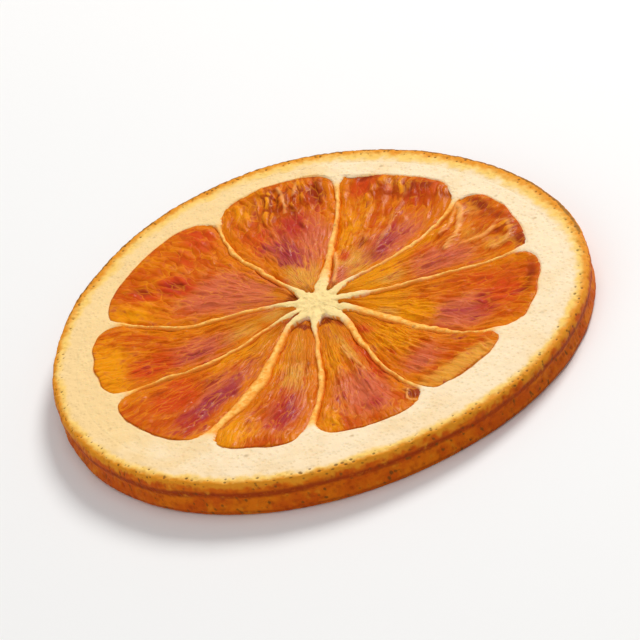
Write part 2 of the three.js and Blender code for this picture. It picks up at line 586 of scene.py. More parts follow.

# %% [markdown]
# ## The finish of the pulp
#
# The pulp carries the blood orange's colour: amber where the juice was plain, ember red to
# purple where it held the dark pigment. The patches fade into each other along the fibres, so
# their masks are stored on the mesh and the shader frays them with a stretched grain. Small
# vesicles, finer than the mesh, are cells stretched the same way, with pale or burnt borders.
# Light enters the dried juice, so it scatters below the surface, and a thin gloss lies on top.
# Painted shade darkens the gaps between loose sacs and the creases along the walls.

# %% The pulp
AMBER = screen(224, 122, 0)
DEEP_AMBER = screen(200, 80, 0)
BURNT_AMBER = screen(160, 58, 2)
CLEAR_AMBER = screen(221, 118, 0)
TAN_GOLD = screen(216, 137, 20)
HONEY = screen(244, 156, 22)
# Dark juice, and painted shade in gaps and creases.
DARK_JUICE_AND_SHADE = screen(150, 48, 2)
PALE_SKIN = screen(246, 170, 90)
BLUSHES = {  # in the order in which they lie over each other
    "gold": screen(238, 148, 0),
    "tan": screen(227, 156, 58),
    "rose": screen(212, 104, 68),
    "ember": screen(208, 68, 14),
    "crimson": screen(182, 44, 36),
    "purple": screen(166, 52, 60),
    # Dark juice, and painted shade in the gaps beside the hub.
    "dark_and_hub_shade": screen(146, 44, 2),
}


def make_pulp_finish():
    bench = Bench("pulp")
    here = body(bench)
    streak = grain(fibres(bench, 1.0, 0.35), 1.0, 3, 0.55)
    thread = grain(fibres(bench, 2.8, 0.9), 1.0, 2, 0.5)
    crumb = grain(here, 1600, 3, 0.6)
    cloud = grain(here, 330, 3, 0.6)
    bent = fibres(bench, 1.3, 0.42, 1.1 * (cloud - 0.5))
    edge = spots(bent, 1.0, feature="DISTANCE_TO_EDGE")
    own = spots(bent, 1.0, "Color")
    sac = field(bench, "sac")
    mottle = 0.25 * streak + 0.5 * cloud + 0.1 * sac + 0.15 * own
    near = 1 - mask(field(bench, "reach") + 14 * (cloud - 0.5), 7, 14)
    beside = field(bench, "beside") + 1.2 * (streak - 0.5)
    colour = coats(
        tint(mask(mottle, 0.38, 0.62), DEEP_AMBER, AMBER),
        (0.85 * near, TAN_GOLD),
        (0.85 * mask(beside, 0.25, 0.8), CLEAR_AMBER),
    )
    fray = 0.8 * (streak - 0.5) + 1.1 * (cloud - 0.5) + 0.3 * (own - 0.5)
    for name, shade in BLUSHES.items():
        colour = tint(0.94 * mask(field(bench, name) + fray, 0.1, 0.8), colour, shade)
    loose = field(bench, "loose")
    full = mask(field(bench, "vein"), 0.1, 0.4)
    border = 1 - mask(edge, 0.01, 0.09)
    pale = mask(cloud + 0.3 * (own - 0.5), 0.42, 0.58)
    colour = coats(
        colour,
        # Painted shade in the gaps between loose sacs.
        (loose * (1 - full), DARK_JUICE_AND_SHADE),
        (loose * full * mask(sac, 0.5, 0.7), HONEY),
        (0.35 * border * pale, HONEY),
        (0.35 * border * (1 - pale), BURNT_AMBER),
        (0.2 * mask(thread, 0.54, 0.75), BURNT_AMBER),
        (0.2 * mask(crumb, 0.6, 0.75), HONEY),
        (0.9 * mask(field(bench, "skin") + 0.4 * fray, 0.2, 0.9), PALE_SKIN),
        # Painted shade in the crease along the walls, with darker juice at the far ends.
        (0.8 * mask(field(bench, "wall") + 0.5 * fray, 0.5, 1.1), DARK_JUICE_AND_SHADE),
    )
    plump = mask(edge, 0.0, 0.3) * (0.4 + 0.6 * own)
    return bench.finish(
        Base_Color=colour,
        Roughness=0.28 + 0.2 * crumb,
        Specular_IOR_Level=0.05,
        Coat_Weight=0.06 * mask(streak, 0.3, 0.6),
        Coat_Roughness=0.16,
        Subsurface_Weight=0.2,
        Subsurface_Radius=(1.0, 0.3, 0.12),
        Subsurface_Scale=1.2 * MM,
        Normal=relief(plump + 0.4 * thread + 0.4 * crumb, 0.08 * MM),
    )


pulp_finish = make_pulp_finish()

# %% [markdown]
# ## The skin
#
# The skin is a closed ring. Its section could be drawn as a curve and swept, but the waist and
# the lips wander up and down round the fruit, so the section is a smooth path that is worked
# out anew at every bearing. Dents at the oil glands and slow wrinkles then move its points, and
# their last degrees run into the first, so that the ring closes without a step.

# %% The section of the skin, smoothed
SKIN_DEPTH = 3.6
SKIN_ROWS = 52
STRETCH_STEPS = 12
SKIN_SECTION = [  # inset from the outline and share of the height
    (SKIN_DEPTH, 1.0), (1.7, 0.999), (0.65, 0.985), (0.2, 0.93), (0.03, 0.83),
    (0.0, 0.72), (0.1, 0.6), (0.24, 0.47), (0.24, 0.36), (0.1, 0.25),
    (0.05, 0.15), (0.28, 0.05), (0.8, 0.006), (SKIN_DEPTH, 0.0),
]


def smooth_path(points, count):
    """A smooth open path through points, as evenly spaced rows of coordinates."""
    points = np.array(points)
    padded = np.concatenate([2 * points[:1] - points[1:2], points, 2 * points[-1:] - points[-2:-1]])
    share = np.linspace(0, 1, STRETCH_STEPS, endpoint=False)[:, None]
    stretches = []
    for before, start, end, after in zip(padded, padded[1:], padded[2:], padded[3:]):
        bend = 2 * before - 5 * start + 4 * end - after
        turn = 3 * (start - end) + after - before
        stretches.append(start + 0.5 * share * (end - before + share * (bend + share * turn)))
    path = np.concatenate([*stretches, points[-1:]])
    length = np.concatenate([[0], np.cumsum(np.hypot(*np.diff(path, axis=0).T))])
    at = np.linspace(0, length[-1], count)
    return np.stack([np.interp(at, length, path[:, 0]), np.interp(at, length, path[:, 1])])


# %% What the skin shares with the pith
CAD_CLEARANCE = 0.12  # keeps pores and wrinkles inside the solid's own box
SEAM = 0.5  # over this width the skin dips under the pith, and the pith under the skin
SEAM_DIP = 0.04


def warmth(bearing):
    """How yellow the pith is: most on the left and far sides."""
    return ease(np.cos(np.radians(bearing - 150)), -0.2, 0.8)


def felt(bearing, radius):
    """The swells and dips of the cut face."""
    x, y = plan(bearing, radius)
    return 0.07 * rough(x / 4, y / 4, 31) + 0.04 * rough(x / 0.8, y / 0.8, 32) - 0.1


# %% The relief of the peel
PORES_ROUND = 270
PORE_RADIUS = 0.32  # as a share of the space between pores
PORE_DEPTH = 0.14
WAIST_AT = 0.42  # as a share of the height, as are the next three
WAIST_HALF = 0.17
DARK_BAND_AT = 0.64
DARK_BAND_HALF = 0.14
WAIST_DEPTH = 0.1
WRINKLE = 0.06
DENT = 0.08
DEEPEST = 0.5


def band(share, at, half):
    """One in the middle of a band round the side, fading away from it."""
    return np.exp(-(((share - at) / half) ** 2))


def pores_and_wrinkles(bearing, share, inset):
    """How deep each point lies in a pore, and the height of the wrinkles."""
    along, up = outline(bearing) * np.radians(bearing), share * THICKNESS
    ring = 2 * math.pi * OUTLINE_RADIUS
    nearest, _, own = cells(along / ring * PORES_ROUND, up * 1.3 + inset * 1.1, 22)
    pore = np.exp(-((nearest / PORE_RADIUS) ** 2)) * (0.35 + 0.65 * own)
    wrinkle = soft(along / 2.3, up / 1.6, 23) + 0.5 * soft(along / 0.9, up / 0.8, 24)
    return np.stack([pore, wrinkle])


def peel_sink(bearing, share, inset, pore, wrinkle):
    """How far the peel lies below its smooth section."""
    x, y = plan(bearing, outline(bearing))
    waist = band(share, WAIST_AT + 0.05 * soft(x / 6, y / 6, 21), WAIST_HALF) * (1 - ease(inset, 0.5, 0.9))
    sink = WAIST_DEPTH * waist * (1 + rough(x / 5, y / 5, 25)) + PORE_DEPTH * pore
    sink = sink + WRINKLE * (1 + wrinkle) + DENT * (1 + soft(x / 4, y / 4, 27))
    return np.clip(sink, 0, DEEPEST)


# %% The ring of skin
SKIN_COLUMNS = 1280
JOINING = 10  # the last degrees, which run into the first
TOP_PORE_DEPTH = 0.16


def peel_fields(bearing, share, inset, side, pore):
    """What the finish has to know: where the peel has a darker band, painted shade at the foot and far
    edge, the cut, pores or bare pith.
    """
    x, y = plan(bearing, outline(bearing))
    far_side = ease(np.cos(np.radians(bearing - 75)), -0.2, 0.5)
    dark_band_and_foot_shade = band(share, DARK_BAND_AT + 0.06 * soft(x / 5, y / 5, 26), DARK_BAND_HALF)
    return {
        # A darker band above the waist, and painted shade at the foot.
        "dark_band_and_foot_shade": np.maximum(dark_band_and_foot_shade, 0.8 * (1 - ease(share, 0.05, 0.25))) * side,
        "inset": (inset + 0.3) * ease(share, 0.68, 0.95) * (1 - 0.38 * far_side),
        # Painted shade along the far upper edge.
        "far_edge_shade": far_side * ease(share, 0.9, 0.97) * (1 - ease(inset, 0.5, 1.1)),
        "pore": pore * (1 - ease(inset, 1.5, 2.0)),
        "warm": warmth(bearing),
    }


def make_skin():
    bearing = np.linspace(0, 360, SKIN_COLUMNS + 1)[None, :]
    inset, share = smooth_path(SKIN_SECTION, SKIN_ROWS)[:, :, None]
    side = ease(share, 0.0, 0.1) * (1 - ease(share, 0.93, 1.0))
    marks, next_marks = (pores_and_wrinkles(bearing - turn, share, inset) for turn in (0, 360))
    pore, wrinkle = blend(marks, next_marks, ease(bearing, 360 - JOINING, 360))
    sink = peel_sink(bearing, share, inset, pore, wrinkle) * (0.15 + 0.85 * side)
    radius = outline(bearing) - CAD_CLEARANCE - inset - sink
    swell = felt(bearing, radius) - SEAM_DIP * ease(inset, SKIN_DEPTH - SEAM, SKIN_DEPTH)
    pore_on_top = pore * ease(share, 0.9, 0.97) * ease(inset, 0.1, 0.4) * (1 - ease(inset, 1.5, 2.1))
    height = face_height(bearing, radius) * share
    height = height + ease(share, 0.5, 1) * (swell - TOP_PORE_DEPTH * pore_on_top)
    outer = patch(place(bearing, radius, height), **peel_fields(bearing, share, inset, side, pore))
    down = np.linspace(0, 1, 5)[:, None, None]
    hidden = {"dark_band_and_foot_shade": 0, "inset": SKIN_DEPTH, "far_edge_shade": 0, "pore": 0, "warm": warmth(bearing)}
    inner = patch(blend(outer["points"][-1:], outer["points"][:1], down), **hidden)
    return sew("skin", [outer, inner], peel_finish)


skin = make_skin()

# %% [markdown]
# ## Pith, membranes and core
#
# These three are one tissue, so they are one mesh: a ring, ten spokes and a hub, with a hole
# for each wedge of pulp. The upper face of the ring swells and dips like felt; the membranes
# stand a little lower between hub and ring, with a wavy crest; the hub is lumpy.

# %% How high the pith stands
CREST_SINK = 0.2
LIP_SINK = 0.17
UNDER_SINK = 0.3
LUMPS = 0.25


def pith_top(bearing, radius, sink):
    """The height of the pith's upper face."""
    x, y = plan(bearing, radius)
    lumps = LUMPS * np.abs(rough(x / 1.3, y / 1.3, 33)) * (1 - ease(radius, 2.5, 6))
    return face_height(bearing, radius) + felt(bearing, radius) - lumps - sink


def pith_under(bearing, radius, sink):
    """The height of the pith's lower face, which lies on the table."""
    x, y = plan(bearing, radius)
    return 0.04 * (1 + soft(x / 1.5, y / 1.5, 34)) + sink


def crest_depth(radius, index):
    """How deep the crest of a membrane sinks, with its nicks."""
    slow = soft(radius / 1.9, index * 3.7, 35)
    nicks = np.maximum(soft(radius / 0.55, index * 6.1, 36) - 0.2, 0)
    return CREST_SINK * (1 + 0.5 * slow + 0.6 * nicks)


def crest(radius, join):
    """One where a membrane has sunk in full, and none at its ends."""
    return ease(radius, ARM_RADIUS, ARM_RADIUS + 3) * (1 - ease(radius, join - 3, join))


# %% The columns of the ring and the hub
WEDGE_STEPS = 72
SPOKE_STEPS = 6


def round_columns(wedge_steps, edge):
    """Columns all the way round: index, share of a segment or of a membrane, and radius of the edge."""
    columns = []
    for segment in range(SEGMENTS):
        across_wedge = np.linspace(0, 1, wedge_steps + 1)
        columns += [(segment, across, None, edge(segment, across)) for across in across_wedge]
        across_spoke = np.linspace(-1, 1, SPOKE_STEPS + 1)[1:-1]
        columns += [(segment + 1, None, across, edge(segment, 1.0)) for across in across_spoke]
    columns.append((SEGMENTS, 0.0, None, edge(0, 0.0)))
    return columns


def column_bearings(columns, radii):
    """The bearing of each column at each of its radii; radii has a column of its own for each."""
    bearings = []
    for (index, across, thick, _), radius in zip(columns, radii.T):
        if thick is None:
            turns, segment = divmod(index, SEGMENTS)
            bearings.append(segment_bearing(segment, across, radius) + 360 * turns)
        else:
            bearings.append(membrane_bearing(index, thick, radius))
    return np.stack(bearings, axis=1)


def rise(columns):
    """One at the edge of a hole, and the square of the share across a membrane."""
    return np.array([1.0 if thick is None else thick**2 for *_, thick, _ in columns])


def beside_pulp(columns):
    """One where the ring borders on pulp, and none at the membranes."""
    return np.array([0.0 if across is None else 1 - abs(2 * across - 1) ** 6 for _, across, *_ in columns])


# %% The ring and the hub
RING_ROWS = 24
CORE_ROWS = 14
CORE_STEPS = 12
BLEED = 0.6  # how much the juice has stained the ring beside the pulp
BLEED_WIDTH = 0.6


def make_ring():
    columns = round_columns(WEDGE_STEPS, pith_edge)
    inner = np.array([edge for *_, edge in columns])
    outer = outline(column_bearings(columns, inner[None, :])[0]) - CAD_CLEARANCE - SKIN_DEPTH + SEAM
    share = np.linspace(0, 1, RING_ROWS)[:, None] ** 1.2
    radius = blend(inner, outer, share)
    bearing = column_bearings(columns, radius)
    sink = LIP_SINK * rise(columns) * (1 - ease(share, 0, 0.12))
    top_height = pith_top(bearing, radius, sink) - SEAM_DIP * ease(radius, outer - SEAM, outer)
    under_height = pith_under(bearing, radius, sink)
    bleed = BLEED * beside_pulp(columns) * (1 - ease(radius - inner, 0.0, BLEED_WIDTH))
    plain = {"drop": 0, "flank": 0, "core": 0, "warm": warmth(bearing)}
    top = patch(place(bearing, radius, top_height), stain=bleed, **plain)
    under = patch(place(bearing, radius, under_height), True, stain=0, **plain)
    down = np.linspace(0, 1, 4)[:, None, None]
    side = blend(top["points"][-1:], under["points"][-1:], down)
    return [top, under, patch(side, stain=0, drop=0, flank=0, core=0, warm=0)]


def two_faces(bearing, radius, sink, under_sink, known):
    """The upper and the lower face of a piece of pith."""
    top = patch(place(bearing, radius, pith_top(bearing, radius, sink)), **known)
    return [top, patch(place(bearing, radius, pith_under(bearing, radius, under_sink)), True, **known)]


def make_hub():
    columns = round_columns(CORE_STEPS, lambda segment, across: core_edge(across))
    share = np.linspace(0, 1, CORE_ROWS)[:, None]
    radius = np.array([edge for *_, edge in columns]) * share
    bearing = column_bearings(columns, radius)
    sink = LIP_SINK * rise(columns) * ease(share, 0.55, 1)
    stain = 0.35 * ease(share, 0.7, 1) * rise(columns)
    known = {"stain": stain, "drop": 0, "flank": 0, "core": 1, "warm": 0}
    return two_faces(bearing, radius, sink, sink, known)


# %% The membranes
SPOKE_ROWS = 110
STAINS = (0.8, 0.8, 0.75, 0.8, 0.85, 0.85, 1.0, 0.85, 0.8, 1.0)  # how amber each membrane is


def make_membrane(index):
    radius = np.linspace(ARM_RADIUS, JOINS[index], SPOKE_ROWS)[:, None]
    across = np.linspace(-1, 1, SPOKE_STEPS + 1)[None, :]
    bearing = membrane_bearing(index, across, radius)
    depth = crest(radius, JOINS[index])
    sink = depth * crest_depth(radius, index) + LIP_SINK * across**2
    under_sink = UNDER_SINK * depth + LIP_SINK * across**2
    known = {
        "stain": STAINS[index] * ease(radius, 3.3, 8) * (1 - ease(radius - JOINS[index], -2.5, 0.5)),
        "drop": 0,
        "flank": across**2,
        "core": 1 - ease(radius, 4, 8),
        "warm": warmth(bearing),
    }
    return two_faces(bearing, radius, sink, under_sink, known)


# %% The walls of each hole
WALL_ROWS = 8


def hole_border(segment):
    """The membrane, bearing, radius and crest of each side of a hole, anticlockwise from the hub."""
    following = (segment + 1) % SEGMENTS
    hub = np.linspace(0, 1, CORE_STEPS + 1)
    out = np.linspace(ARM_RADIUS, JOINS[following], SPOKE_ROWS)
    wedge = np.linspace(1, 0, WEDGE_STEPS + 1)
    pith = pith_edge(segment, wedge)
    back = np.linspace(ARM_RADIUS, JOINS[segment], SPOKE_ROWS)[::-1]
    return [
        (None, segment_bearing(segment, hub, core_edge(hub)), core_edge(hub), 0),
        (following, segment_bearing(segment, 1.0, out), out, crest(out, JOINS[following])),
        (None, segment_bearing(segment, wedge, pith), pith, 0),
        (segment, segment_bearing(segment, 0.0, back), back, crest(back, JOINS[segment])),
    ]


def make_walls(segment):
    down = np.linspace(0, 1, WALL_ROWS)[:, None]
    walls = []
    for owner, bearing, radius, depth in hole_border(segment):
        sunk = 0 if owner is None else depth * crest_depth(radius, owner)
        top = pith_top(bearing, radius, sunk + LIP_SINK)
        height = blend(top, pith_under(bearing, radius, UNDER_SINK * depth + LIP_SINK), down)
        # How deep down its wall a point lies, for the painted shade there.
        drop = (top - height) * (1 - ease(down, 0.8, 1))
        stain = 0.3 if owner is None else 0.9
        known = {"stain": stain, "drop": drop, "flank": 1, "core": 0, "warm": warmth(bearing)}
        walls.append(patch(place(bearing, radius, height), **known))
    return walls


pith_patches = make_ring() + make_hub()
for number in range(SEGMENTS):
    pith_patches += make_membrane(number) + make_walls(number)
pith = sew("pith", pith_patches, pith_finish)

# %% [markdown]
# ## Blushes and folds
#
# Each wedge of pulp is coloured and creased in its own way. A painted map would hold that, but
# a few touches describe it as well: where a blush sits, how wide and how long it is, and where
# a fold of loose skin runs, how high and how pale. They are noted by bearing and radius, like
# all else here.

# %% The touches
TOUCHES = {  # bearing, radius, half the width, half the length and strength of each
    "gold": [
        (14, 8.0, 2.4, 4.0, 1.3), (22, 12.5, 1.4, 3.0, 0.8), (24, 17, 1.2, 5, 0.5),
        (64, 15, 1.4, 6, 0.6), (104, 25.5, 2.0, 2.2, 0.5), (157, 24, 1.4, 3, 0.7),
        (182, 26.5, 5, 2, 1.0), (207, 12, 1.8, 4, 0.7), (237, 26, 1.8, 2.5, 1.0),
        (265, 25, 1.2, 2.5, 0.7), (270, 13.5, 1.8, 4.5, 0.6), (302, 13.5, 2.4, 4, 0.8),
        (326, 12, 1.8, 5.5, 1.2), (343, 8, 1.8, 4, 0.8), (240, 14, 1.4, 5, 0.5),
    ],
    "tan": [
        (4, 9.5, 1.0, 2, 0.8), (2, 23.5, 1.2, 2.5, 0.6), (12, 21, 2.0, 3, 0.5),
        (46, 8.2, 2.0, 2.4, 1.0), (94, 6.8, 2.2, 3.0, 1.1), (138, 9, 1.6, 3, 0.4),
        (176, 5.5, 1.2, 1.6, 0.9), (189, 10.5, 1.2, 2.5, 0.8), (250, 15, 1.6, 3.5, 0.8),
        (279, 12, 0.6, 4, 0.7), (296, 25.0, 3.0, 1.6, 0.6), (303, 25.8, 5, 1.4, 1.0),
        (23, 23.6, 1.5, 2.0, 0.6), (59, 23.8, 1.2, 1.2, 0.5), (322, 9.5, 0.8, 2, 0.8),
    ],
    "rose": [
        (5, 16, 2.4, 3.5, 1.0), (38, 14, 2.2, 4, 0.9), (54, 5.6, 1.2, 1.8, 1.1),
        (84, 14, 2.4, 5, 0.9), (98, 15, 3.0, 4, 0.7), (141, 12.5, 4.0, 5.5, 1.0),
        (152, 15, 2.2, 3.5, 0.9), (189, 15.5, 2.2, 4, 1.0), (213, 4.3, 0.8, 1.0, 1.0),
        (220, 20, 2.4, 5, 0.8), (250, 22, 2.4, 3.5, 0.9), (276, 21.5, 3.0, 4.5, 1.0),
        (300, 20.5, 2.8, 2.0, 0.8), (327, 19.5, 3.2, 3.2, 1.0),
    ],
    "ember": [
        (18, 14, 1.0, 2, 0.5), (20, 24, 2.0, 2.0, 0.5), (59, 9.5, 0.8, 1, 0.8),
        (66, 24.5, 1.6, 2.2, 1.0), (104, 18, 2.2, 3.5, 0.6), (81, 24, 1.4, 3.0, 0.9),
        (141, 20.5, 1.4, 2.2, 1.3), (148, 24, 0.8, 2.0, 1.1), (119, 24, 1.8, 3, 0.9),
        (129, 22.5, 1.2, 2.5, 0.7), (46, 23, 2.6, 2.0, 0.9), (338, 24, 2.4, 2.2, 0.9),
        (318, 24.5, 1.4, 2.0, 0.5), (187, 21.5, 2.2, 2.8, 1.0), (209, 22.5, 2.2, 3.2, 1.0),
        (202, 20, 1.2, 3.0, 0.7), (248, 19, 1.5, 3, 0.5), (285, 15, 0.5, 5, 0.9),
        (298, 9.5, 1.0, 1.6, 0.7), (346, 20, 2.2, 4, 0.6),
    ],
    "crimson": [
        (90, 18, 2.0, 3.0, 0.9), (141, 20.5, 1.0, 1.8, 0.7), (224, 25, 1.2, 2.4, 1.0),
        (220, 22.5, 0.8, 4.0, 0.8), (250, 22.5, 1.4, 2.6, 1.0), (330, 22, 1.6, 1.6, 0.7),
        (276, 23.5, 1.2, 2.2, 0.5), (44, 16, 0.8, 2.6, 0.6),
    ],
    "purple": [
        (5, 16.5, 0.9, 2.5, 0.5), (40, 13, 1.1, 3.0, 0.9), (98, 12.8, 1.3, 2.8, 1.1),
        (103, 14.5, 0.7, 2, 0.7), (192, 15.5, 0.8, 2.5, 0.6), (222, 20, 1.2, 4, 1.1),
        (251, 21.5, 0.7, 3, 0.8), (278, 21, 0.8, 3, 0.4), (326, 19.5, 1.2, 2.4, 0.6),
    ],
    # Dark juice, and painted shade in the gaps beside the hub, where the touches lie at a radius of 4 to
    # 5.5.
    "dark_and_hub_shade": [
        (140, 20.5, 0.6, 1.0, 0.7), (18, 24.3, 1.8, 1.2, 0.45), (2.5, 26.2, 1.3, 0.9, 0.9),
        (8, 23.9, 0.5, 0.6, 0.8), (14, 25.2, 0.9, 0.8, 0.8), (24, 25, 3.0, 0.7, 0.9),
        (50, 24, 0.9, 0.9, 1.0), (44, 24.6, 1.4, 0.8, 0.9), (38, 24.2, 0.9, 0.9, 0.7),
        (51.5, 12.5, 0.5, 1, 0.7), (66, 26, 2.0, 0.9, 1.0), (80, 24.5, 1.1, 2.5, 0.9),
        (90, 22, 0.4, 3, 0.6), (132, 4, 1.2, 0.7, 1.0), (146, 25, 0.6, 2.0, 0.6),
        (156, 9.5, 0.6, 1.8, 0.4), (212, 18, 0.5, 1.5, 0.5), (238, 4.6, 1.2, 0.5, 1.0),
        (255.5, 13, 0.4, 1.8, 0.6), (278, 4, 1.3, 0.6, 1.0), (288, 5.5, 0.5, 1.5, 0.8),
        (288.7, 25.6, 0.5, 0.8, 1.3), (345, 26.8, 4.0, 0.7, 0.7),
    ],
}
LOOSE_SACS = [(92, 24.5, 3.2, 3.4, 1.0), (52, 23.5, 3.5, 1.8, 0.8), (8, 25.5, 2.0, 1.2, 0.8)]
FOLDS = [  # segment, points by radius and bearing, width, height, and how pale it shows
    (0, [(23.6, 32), (22.6, 26.7), (21.3, 21.4), (19.6, 17.4), (17.4, 11)], 0.5, 0.35, 1.0),
    (0, [(23.2, 31), (20.5, 25), (18, 20.5)], 0.35, 0.25, 0.8),
    (0, [(25.8, 10.6), (24.5, 12.5), (23.1, 9.4), (21.5, 7.5), (19.2, 8.5)], 0.5, 0.35, 0.75),
    (0, [(25.8, 10.6), (25.4, 5.8), (24.2, 1.8), (22.4, 1.5)], 0.45, 0.3, 0.7),
    (1, [(23.4, 51), (20.3, 49), (17.3, 46.4), (13.9, 44), (11.1, 39.6)], 0.45, 0.25, 0.5),
    (1, [(20.2, 58), (17.6, 59)], 0.35, 0.15, 0.5),
    (1, [(13.2, 60), (14.2, 55), (13.2, 51)], 0.35, 0.15, 0.5),
    (1, [(10.5, 69), (7, 60), (4.2, 48)], 0.4, 0.5, 1.0),
    (2, [(27, 91), (24, 90), (21.5, 92)], 0.35, 0.35, 0.9),
    (2, [(27, 86), (24.5, 87)], 0.3, 0.3, 0.8),
    (7, [(17, 280), (14, 279), (11, 277)], 0.35, 0.3, 0.8),
    (7, [(24.4, 286.6), (26.0, 285.2), (27.0, 286.6)], 0.2, 0.25, 1.0),
]

# %% How touches and folds spread
BLUSH_SPREAD = 1.2  # the touches run into each other


def blush(touches, bearing, radius):
    """How strongly any of the touches shows."""
    shown = 0 * radius
    for middle, at, width, length, strength in touches:
        side = np.radians((bearing - middle + 180) % 360 - 180) * radius / width
        away = np.hypot(side, (radius - at) / length) / BLUSH_SPREAD
        shown = np.maximum(shown, strength * np.exp(-(away**2)))
    return shown


def fold_line(points, width, bearing, radius):
    """One on a line of points, falling away to its sides and at its ends."""
    x, y = plan(bearing, radius)
    nearest = np.full(radius.shape, np.inf)
    spots = [plan(turn, out) for out, turn in points]
    for (start_x, start_y), (end_x, end_y) in zip(spots, spots[1:]):
        run_x, run_y = end_x - start_x, end_y - start_y
        share = ((x - start_x) * run_x + (y - start_y) * run_y) / (run_x**2 + run_y**2)
        share = np.clip(share, 0, 1)
        nearest = np.minimum(nearest, np.hypot(x - start_x - share * run_x, y - start_y - share * run_y))
    return np.exp(-((nearest / width) ** 2))


print("touches:", sum(len(each) for each in TOUCHES.values()), "- folds:", len(FOLDS))


# %% [markdown]
# ## The pulp
#
# A wedge of dried pulp is a cushion of hundreds of small juice sacs that all point at the core.
# Modelling each sac would take millions of faces. The wedge is a fine grid instead, and cells
# stretched along it tell every point which sac it lies in: some sacs stayed plump, others
# collapsed into glossy dimples, and their skins stand as thin ridges. The edges run a little
# into the walls, deeper where the pulp shrank away, which leaves the dark gaps beside it. The
# knife cut all of it off level, so whatever nears the face is held down ever more.

# %% The relief of the sacs
SACS_ACROSS = 16
SAC_LENGTH = 3.2
SAC_HEIGHT = 0.2
RIDGE_HEIGHT = 0.04
WEDGE_WIDTH = 15  # the same for all wedges, so that fibres fan out with them


def sac_relief(segment, across, radius, seed):
    """The height of the sacs, how near their skins are, and a number for each sac."""
    drift = 0.5 * soft(radius / 3.1, across * 5, seed) + 0.25 * soft(radius / 1.2, across * 12, seed + 1)
    u = across * SACS_ACROSS + drift + 40 * segment
    v = radius / SAC_LENGTH + 0.35 * soft(across * 9, radius / 4, seed + 2)
    nearest, vein, own = cells(u, v, seed + 3)
    plump = np.where(own > 0.45, 1.0, -0.6) * (0.4 + own)
    bulge = plump * (1 - ease(nearest, 0.0, 0.8)) * ease(vein, 0.0, 0.3)
    spread = ease(radius, 6, 14)
    ridge = (1 - ease(vein, 0.0, 0.14)) * spread
    return spread * SAC_HEIGHT * bulge + RIDGE_HEIGHT * ridge, vein, own


def wrinkles(across, radius, seed):
    """Slow folds along the fibres, with finer ones on them."""
    side = (across - 0.5) * WEDGE_WIDTH
    slow = 0.2 * soft(side / 2.6, radius / 8, seed + 5)
    quick = 0.06 * soft(side / 1.0 + 3, radius / 4.5, seed + 6)
    return slow + quick + 0.01 * rough(side / 0.4, radius / 1.8, seed + 7, 2)


# %% The depth of a wedge, and the folds on it
PULP_DEPTH = (0.6, 0.6, 0.6, 0.6, 0.55, 0.55, 0.6, 0.6, 0.55, 0.6)
FAR_RISE = (0.3, 0.25, 0.3, 0.4, 0.35, 0.35, 0.35, 0.3, 0.35, 0.3)  # how much higher at the pith
NEAR_DROP = (-0.3, -0.3, -0.3, 0.35, -0.2, -0.2, 0.2, 0.3, -0.1, -0.3)  # how much deeper at the hub
DOME = 0.2
LEVEL = 0.1  # from this depth below the face, bumps are held down ever more
HEADROOM = 0.2  # and rise no more than this above it


def dome(across):
    """How much higher a wedge stands than at its walls."""
    return DOME * (1 - (2 * across - 1) ** 2)


def pulp_depth(segment, across, radius, crease):
    """How deep the upper face of a wedge lies."""
    reach = (radius - CORE_RADIUS) / (REACHES[segment] - CORE_RADIUS)
    depth = PULP_DEPTH[segment] - dome(across) - FAR_RISE[segment] * ease(reach, 0.72, 1.0)
    shut = min(3 * FAR_RISE[segment], 1) * ease(reach, 0.85, 0.95)
    return depth + NEAR_DROP[segment] * (1 - ease(radius, 3.2, 6.5)) + crease * (1 - shut)


def fold_relief(segment, across, bearing, radius, seed):
    """How high the folds of loose skin stand, and how pale they show."""
    lift, pale = 0 * radius, 0 * radius
    wander = 1.2 * soft(radius / 1.5, across * 3, seed)
    uneven = 0.8 + 0.2 * soft(radius / 0.9, across * 6, seed + 4)
    for owner, points, width, height, show in FOLDS:
        if owner == segment:
            line = fold_line(points, width * (0.6 + 0.6 * uneven), bearing + wander, radius) * uneven
            lift = np.maximum(lift, height * line)
            pale = np.maximum(pale, show * line)
    return lift, pale


def held_down(height):
    """A height above the level, which reaches the headroom only in the limit."""
    return np.where(height > 0, HEADROOM * np.tanh(height / HEADROOM), height)


# %% The grid of a wedge
PULP_ACROSS = 84
PULP_ALONG = 124
PULP_TUCK = 0.12


def wedge_grid(segment):
    """Across, radius, bearing, width and distance to the wall at each point of a wedge."""
    across = np.linspace(0, 1, PULP_ACROSS + 1)[None, :]
    along = np.linspace(0, 1, PULP_ALONG + 1)[:, None]
    near, far = core_edge(across) - PULP_TUCK, pith_edge(segment, across) + PULP_TUCK
    radius = blend(near, far, along)
    start = segment_bearing(segment, 0.0, radius) - np.degrees(PULP_TUCK / radius)
    end = segment_bearing(segment, 1.0, radius) + np.degrees(PULP_TUCK / radius)
    width = np.radians(end - start) * radius
    wall = np.minimum(np.minimum(across, 1 - across) * width, np.minimum(along, 1 - along) * (far - near))
    return across + 0 * radius, radius, blend(start, end, across), width, wall


def wedge_borders(top, under):
    """Strips between the faces of a wedge, which know what the upper face knows at its border."""
    shape = top["points"].shape[:2]
    strips = []
    for take in (np.s_[0, :], np.s_[:, -1], np.s_[-1, ::-1], np.s_[::-1, 0]):
        strip = np.stack([top["points"][take], under["points"][take]])
        known = {name: np.broadcast_to(values, shape)[take] for name, values in top["fields"].items()}
        strips.append(patch(strip, True, **known))
    return strips


# %% The wedges
UNDER_DEPTH = 0.75
FIRST_DRAW = 100
DRAWS_EACH = 20


